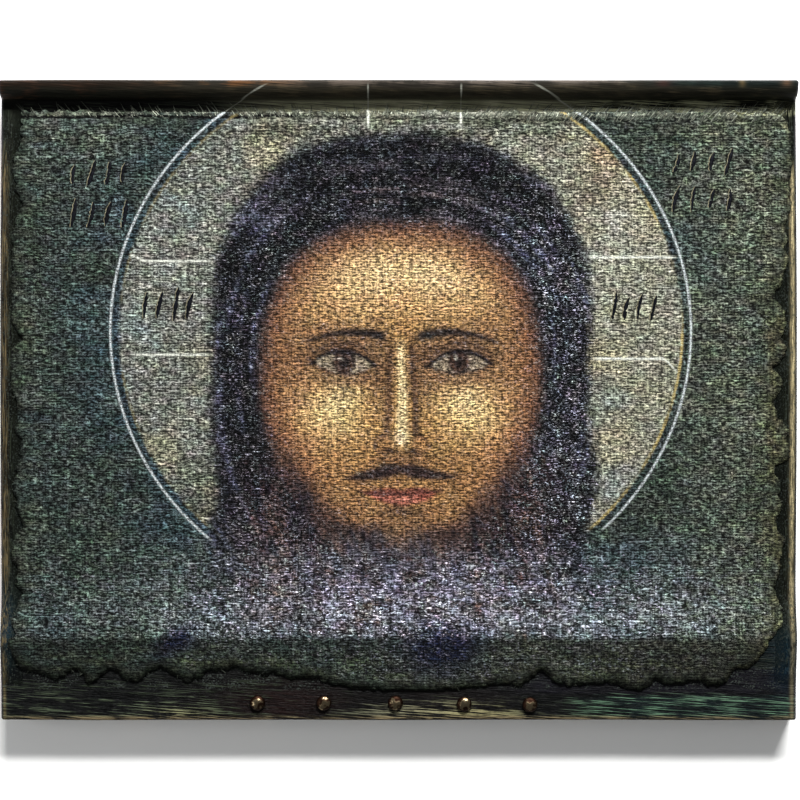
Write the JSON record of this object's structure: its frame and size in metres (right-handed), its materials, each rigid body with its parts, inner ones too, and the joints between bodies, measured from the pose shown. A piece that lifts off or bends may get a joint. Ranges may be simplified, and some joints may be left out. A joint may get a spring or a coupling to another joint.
{
  "type": "icon panel",
  "caption": "Painted wooden icon panel with a rounded lip along its top, torn coarse linen glued over a shallow hollow field, and a nailed strip at its foot.",
  "frame": {"origin": "centre of the flat back face, on the plane the panel rests on", "axes": "+X to the right of the picture, +Y towards its top, +Z out of the painted face; the panel lies on its back"},
  "size_m": [0.3, 0.241, 0.0241],
  "materials": {
    "painted_wood": "dark green and ochre paint in horizontal strokes over carved wood, worn to ochre at the side edges; bare aged wood behind",
    "painted_linen": "coarse plain-weave linen glued down, painted in grey-green, navy and warm earth colours, varnished to a satin gloss",
    "aged_brass": "aged brass, worn bright on the crown and dark in the dents"
  },
  "bodies": {
    "root": {"board": "painted_wood", "canvas": "painted_linen", "nail_1": "aged_brass", "nail_2": "aged_brass", "nail_3": "aged_brass", "nail_4": "aged_brass", "nail_5": "aged_brass"}
  },
  "joints": []
}
